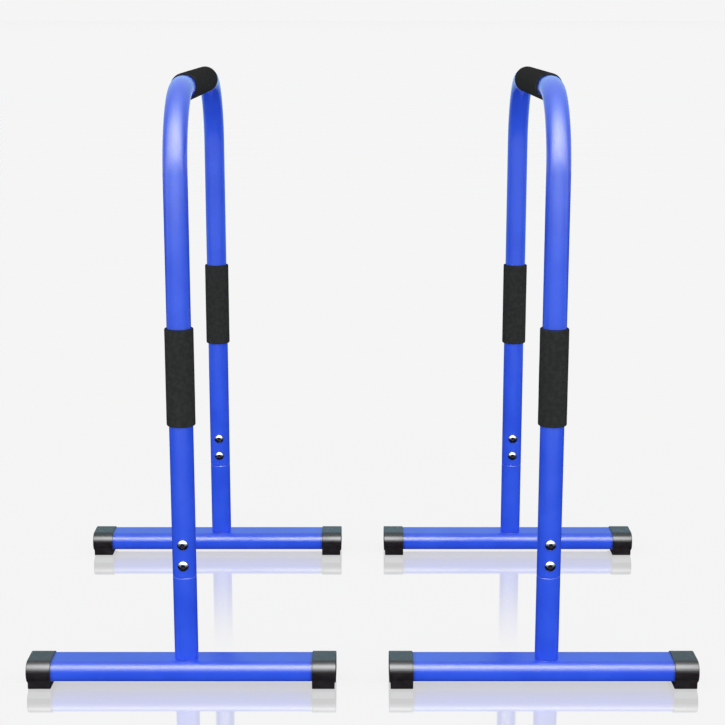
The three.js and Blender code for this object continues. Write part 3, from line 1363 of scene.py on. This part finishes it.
@dataclass
class LightDome:
    """A graded half dome that only reflections show: a soft lamp ahead, a ceiling and a cool back.

    Its angles run about the X axis, from its edge over the floor ahead to 180 degrees at the
    floor behind.
    """

    radius: float = 2.3
    edge_height: float = 0.57
    glow: tuple[tuple[float, float], ...] = (
        (14, 5.0), (19, 5.4), (29, 8.2), (37, 15.5), (44, 18.2), (52, 19.5), (58, 19), (65, 16),
        (71, 11.5), (78, 7.4), (86, 4.2), (95, 2.6), (109, 1.7), (150, 1), (180, 1),
    )
    peak: float = 20.0
    dim_colour: Colour = (0.86, 1.0, 1.0)
    base: float = 0.6
    side_share: float = 0.06
    side_falloff: float = 3.2
    edge_blur: float = 0.10
    cool_start: float = 110.0
    cool_end: float = 145.0
    cool_colour: Colour = (0.56, 0.86, 1.0)
    rows: int = 90
    columns: int = 40

    def level(self, angle: float) -> float:
        """The glow at an angle.

        Args:
            angle: The angle in degrees.

        Returns:
            The strength, where 1 is white.
        """
        for (low, first), (high, second) in zip(self.glow, self.glow[1:]):
            if angle <= high:
                return first + (second - first) * (angle - low) / (high - low)
        return self.glow[-1][1]

    def tint(self, angle: float) -> Vector:
        """The glow's colour at an angle.

        Args:
            angle: The angle in degrees.

        Returns:
            The colour, from white where the glow is brightest to cool behind.
        """
        share = (angle - self.cool_start) / (self.cool_end - self.cool_start)
        ahead = Vector(self.dim_colour).lerp(Vector((1, 1, 1)), self.level(angle) / self.peak)
        return ahead.lerp(Vector(self.cool_colour), min(max(share, 0), 1))

    def mesh(self) -> bpy.types.Mesh:
        """Builds the dome, with its glow in a colour attribute."""
        made = bmesh.new()
        glow = made.verts.layers.float_color.new("glow")
        rows = []
        edge = math.asin(self.edge_height / self.radius)
        for row in range(self.rows + 1):
            angle = edge + (math.pi - edge) * row / self.rows
            degrees = math.degrees(angle)
            points = []
            for column in range(self.columns + 1):
                aside = math.pi * (column / self.columns - 0.5)
                ahead = self.radius * math.cos(aside)
                point = made.verts.new((
                    self.radius * math.sin(aside), -ahead * math.cos(angle), ahead * math.sin(angle),
                ))
                fade = max(math.cos(aside), 0) ** self.side_falloff
                fade = self.side_share + (1 - self.side_share) * fade
                rise = (point.co.z - self.edge_height) / self.edge_blur
                fade *= min(max(1 + rise, 0), 1)
                level = self.base + (self.level(degrees) - self.base) * fade
                point[glow] = (*(self.tint(degrees) * level), 1)
                points.append(point)
            rows.append(points)
        for row, other in zip(rows, rows[1:]):
            for index in range(self.columns):
                made.faces.new((row[index], row[index + 1], other[index + 1], other[index]))
        mesh = bpy.data.meshes.new("light_dome")
        made.to_mesh(mesh)
        made.free()
        return mesh


@dataclass
class Studio:
    """The floor, the light and the camera."""

    pale: Colour = (0.912, 0.912, 0.912)
    floor_radius: float = 900.0
    floor_sides: int = 96
    floor_drop: float = 0.1 * MM
    floor_bounce: Colour = (0.62, 0.66, 0.72)
    lift: float = 0.90
    mirror: float = 0.34
    mirror_roughness: float = 0.04
    mirror_near: float = 0.12
    mirror_far: float = 0.56
    cloth_reach: float = 9.0
    cloth_colour: Colour = (0.012, 0.016, 0.040)
    cloth_far: float = 1.6
    cloth_tint: Colour = (0.88, 1.0, 1.0)
    cloth_fade: tuple[tuple[float, float, float], ...] = ((0.55, 0.6, 2.0), (0.45, 2.5, 6.0))
    second_bounce: float = 1.5
    floor_white: Colour = (1.0, 1.0, 1.0)
    sheet_place: float = 0.2
    sheet_heights: tuple[float, float] = (0.45, 0.93)
    sheet_reach: float = 2.0
    leg_reach: float = 0.33
    ambient: float = 0.74
    key_strength: float = 1.25
    key_elevation: float = math.radians(25)
    key_spread: float = math.radians(70)
    image_side: float = 725.0
    focal_pixels: float = 1607.3
    sensor: float = 36.0
    axis_pixel: tuple[float, float] = (362.775, 362.32)
    camera_place: tuple[float, float, float] = (0.33 * MM, -2778.7 * MM, 1054.4 * MM)
    camera_pitch: float = math.radians(12.067)

    def build(self) -> None:
        """Sets the floor, the light and the camera."""
        self.build_world()
        self.build_floor()
        self.build_cloth()
        self.build_dome()
        self.build_sheet()
        self.build_key()
        self.build_camera()
        bpy.context.scene.view_settings.view_transform = "Standard"

    @staticmethod
    def seen(tree: Tree) -> Socket:
        """Adds 1 for rays that look at the backdrop, straight or in a reflection, and else 0.

        Args:
            tree: The tree.

        Returns:
            The mask.
        """
        kinds = ("Is Camera Ray", "Is Glossy Ray", "Is Transmission Ray")
        camera, glossy, through = [tree.node("ShaderNodeLightPath", output=kind) for kind in kinds]
        return tree.math("MAXIMUM", tree.math("MAXIMUM", camera, glossy), through)

    def build_world(self) -> None:
        """Lights the scene evenly, behind a pale backdrop."""
        world = bpy.data.worlds.new("studio")
        bpy.context.scene.world = world
        world.use_nodes = True
        tree = Tree(world.node_tree)
        light = tree.node("ShaderNodeBackground", None, {"Color": (1, 1, 1, 1), "Strength": self.ambient})
        pale = tree.node("ShaderNodeBackground", None, {"Color": (*self.pale, 1), "Strength": 1.0})
        mixed = tree.node("ShaderNodeMixShader", None, {0: self.seen(tree), 1: light, 2: pale})
        tree.node("ShaderNodeOutputWorld", None, {"Surface": mixed})

    @staticmethod
    def furnish(mesh: bpy.types.Mesh, material: bpy.types.Material, mirrored_only: bool) -> None:
        """Puts a piece of the studio in the scene, which isn't part of the object.

        Args:
            mesh: Its mesh, which has its name.
            material: Its material.
            mirrored_only: Whether only reflections show it.
        """
        mesh.materials.append(material)
        made = bpy.data.objects.new(mesh.name, mesh)
        bpy.context.scene.collection.objects.link(made)
        if mirrored_only:
            made.visible_camera = False
            made.visible_diffuse = False
            made.visible_transmission = False
            made.visible_shadow = False

    def disc(self, name: str, radius: float, height: float) -> bpy.types.Mesh:
        """Cuts a flat disc.

        Args:
            name: Its name.
            radius: Its radius.
            height: Its Z.

        Returns:
            Its mesh.
        """
        made = bmesh.new()
        bmesh.ops.create_circle(made, cap_ends=True, segments=self.floor_sides, radius=radius)
        mesh = bpy.data.meshes.new(name)
        made.to_mesh(mesh)
        made.free()
        for vertex in mesh.vertices:
            vertex.co.z = height
        return mesh

    def build_floor(self) -> None:
        """Lays a pale floor with a faint shine round the feet."""
        surface = Surface("studio_floor")
        camera = surface.node("ShaderNodeLightPath", output="Is Camera Ray")
        colour = surface.blend(camera, self.floor_bounce, self.floor_white)
        lit = surface.node("ShaderNodeBsdfDiffuse", None, {"Color": colour})
        plain = surface.node("ShaderNodeEmission", None, {"Color": (*self.pale, 1), "Strength": 1.0})
        share = surface.math("MAXIMUM", camera * self.lift, self.seen(surface) - camera)
        even = surface.node("ShaderNodeMixShader", None, {0: share, 1: lit, 2: plain})
        shine = surface.node("ShaderNodeBsdfAnisotropic", None, {
            "Color": (1, 1, 1, 1), "Roughness": self.mirror_roughness,
        })
        y = surface.node("ShaderNodeSeparateXYZ", None, {"Vector": surface.place}, "Y")
        ahead = surface.math("WRAP", self.leg_reach - y, 0.0, 2 * self.leg_reach)
        near = camera * self.mirror * (1 - ahead.smooth_step(self.mirror_near, self.mirror_far))
        mixed = surface.node("ShaderNodeMixShader", None, {0: near, 1: even, 2: shine})
        surface.node("ShaderNodeOutputMaterial", None, {"Surface": mixed})
        floor = self.disc("studio_floor", self.floor_radius, -self.floor_drop)
        self.furnish(floor, surface.material, mirrored_only=False)

    def build_cloth(self) -> None:
        """Lays a cloth on the floor that only reflections show, dark near the feet and pale ahead."""
        surface = Surface("dark_cloth")
        near = surface.node("ShaderNodeEmission", None, {
            "Color": (*self.cloth_colour, 1), "Strength": 1.0,
        })
        far = surface.node("ShaderNodeEmission", None, {
            "Color": (*self.cloth_tint, 1), "Strength": self.cloth_far,
        })
        ahead = -surface.node("ShaderNodeSeparateXYZ", None, {"Vector": surface.place}, "Y")
        fade = sum(share * ahead.smooth_step(low, high) for share, low, high in self.cloth_fade)
        cloth = surface.node("ShaderNodeMixShader", None, {0: fade, 1: near, 2: far})
        clear = surface.node("ShaderNodeBsdfTransparent")
        below = surface.node("ShaderNodeNewGeometry", output="Backfacing")
        bounces = surface.node("ShaderNodeLightPath", output="Ray Depth")
        later = surface.math("GREATER_THAN", bounces, self.second_bounce)
        passed = surface.math("MAXIMUM", below, later)
        mixed = surface.node("ShaderNodeMixShader", None, {0: passed, 1: cloth, 2: clear})
        surface.node("ShaderNodeOutputMaterial", None, {"Surface": mixed})
        cloth = self.disc("dark_cloth", self.cloth_reach, -self.floor_drop / 2)
        self.furnish(cloth, surface.material, mirrored_only=True)

    def build_dome(self) -> None:
        """Hangs the dome of light, which the floor's shine and what is behind the sheet don't show."""
        surface = Surface("soft_light")
        glow = surface.node("ShaderNodeAttribute", {"attribute_name": "glow"}, output="Color")
        light = surface.node("ShaderNodeEmission", None, {"Color": glow, "Strength": 1.0})
        clear = surface.node("ShaderNodeBsdfTransparent")
        sheets = surface.node("ShaderNodeLightPath", output="Transparent Depth")
        bounces = surface.node("ShaderNodeLightPath", output="Ray Depth")
        first = surface.math("LESS_THAN", bounces, self.second_bounce)
        passed = surface.math("MINIMUM", sheets, 1.0) * first
        mixed = surface.node("ShaderNodeMixShader", None, {0: passed, 1: light, 2: clear})
        surface.node("ShaderNodeOutputMaterial", None, {"Surface": mixed})
        surface.material.cycles.emission_sampling = "NONE"
        self.furnish(LightDome().mesh(), surface.material, mirrored_only=True)

    def build_sheet(self) -> None:
        """Stands a clear sheet ahead of the back legs, through which they show no lamp."""
        surface = Surface("clear_sheet")
        clear = surface.node("ShaderNodeBsdfTransparent")
        surface.node("ShaderNodeOutputMaterial", None, {"Surface": clear})
        low, high = self.sheet_heights
        made = bmesh.new()
        corners = ((-1, low), (1, low), (1, high), (-1, high))
        made.faces.new([
            made.verts.new((side * self.sheet_reach, self.sheet_place, z)) for side, z in corners
        ])
        mesh = bpy.data.meshes.new("clear_sheet")
        made.to_mesh(mesh)
        made.free()
        self.furnish(mesh, surface.material, mirrored_only=True)

    def build_key(self) -> None:
        """Hangs a broad sun for the shade."""
        data = bpy.data.lights.new("key", "SUN")
        data.energy = self.key_strength
        data.angle = self.key_spread
        key = bpy.data.objects.new("key", data)
        key.rotation_euler = (QUARTER_TURN - self.key_elevation, 0, 0)
        key.visible_glossy = False
        bpy.context.scene.collection.objects.link(key)

    def build_camera(self) -> None:
        """Sets the camera at the photograph's place and angle."""
        data = bpy.data.cameras.new("camera")
        data.sensor_width = self.sensor
        data.lens = self.focal_pixels / self.image_side * self.sensor
        middle = self.image_side / 2
        data.shift_x = (middle - self.axis_pixel[0]) / self.image_side
        data.shift_y = (self.axis_pixel[1] - middle) / self.image_side
        data.clip_end = 4 * self.floor_radius
        camera = bpy.data.objects.new("camera", data)
        camera.location = self.camera_place
        camera.rotation_euler = (QUARTER_TURN - self.camera_pitch, 0, 0)
        bpy.context.scene.collection.objects.link(camera)
        bpy.context.scene.camera = camera


def build_stand(stand: Stand, materials: dict[Slot, bpy.types.Material]) -> None:
    """Builds one whole stand.

    Args:
        stand: Which one.
        materials: The finishes.
    """
    paint, foam = materials[Slot.PAINT], materials[Slot.FOAM]
    pattern = BoltPattern(stand)
    name = stand.value
    HandleFrame(stand).build(paint, pattern)
    FoamGrip(f"{name}_top_grip", f"{name}_bar_grip_foam", stand).build(foam)
    for leg in Leg:
        prefix = f"{name}_{leg.value}"
        FoamGrip(f"{prefix}_sleeve", f"{prefix}_sleeve_foam", stand).build(foam)
        Foot(stand, leg).build(paint, materials[Slot.PLASTIC], pattern)
    Fasteners(stand).build(materials[Slot.STEEL], pattern)


def main() -> None:
    """Builds the studio and both stands."""
    logging.basicConfig(level=logging.INFO, format="%(name)s: %(message)s")
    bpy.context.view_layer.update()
    Studio().build()
    materials = {
        Slot.PAINT: PowderCoat().material(),
        Slot.PLASTIC: MouldedPlastic().material(),
        Slot.FOAM: ClosedCellFoam().material(),
        Slot.STEEL: PlatedSteel().material(),
    }
    for stand in Stand:
        build_stand(stand, materials)


if __name__ == "__main__":
    main()
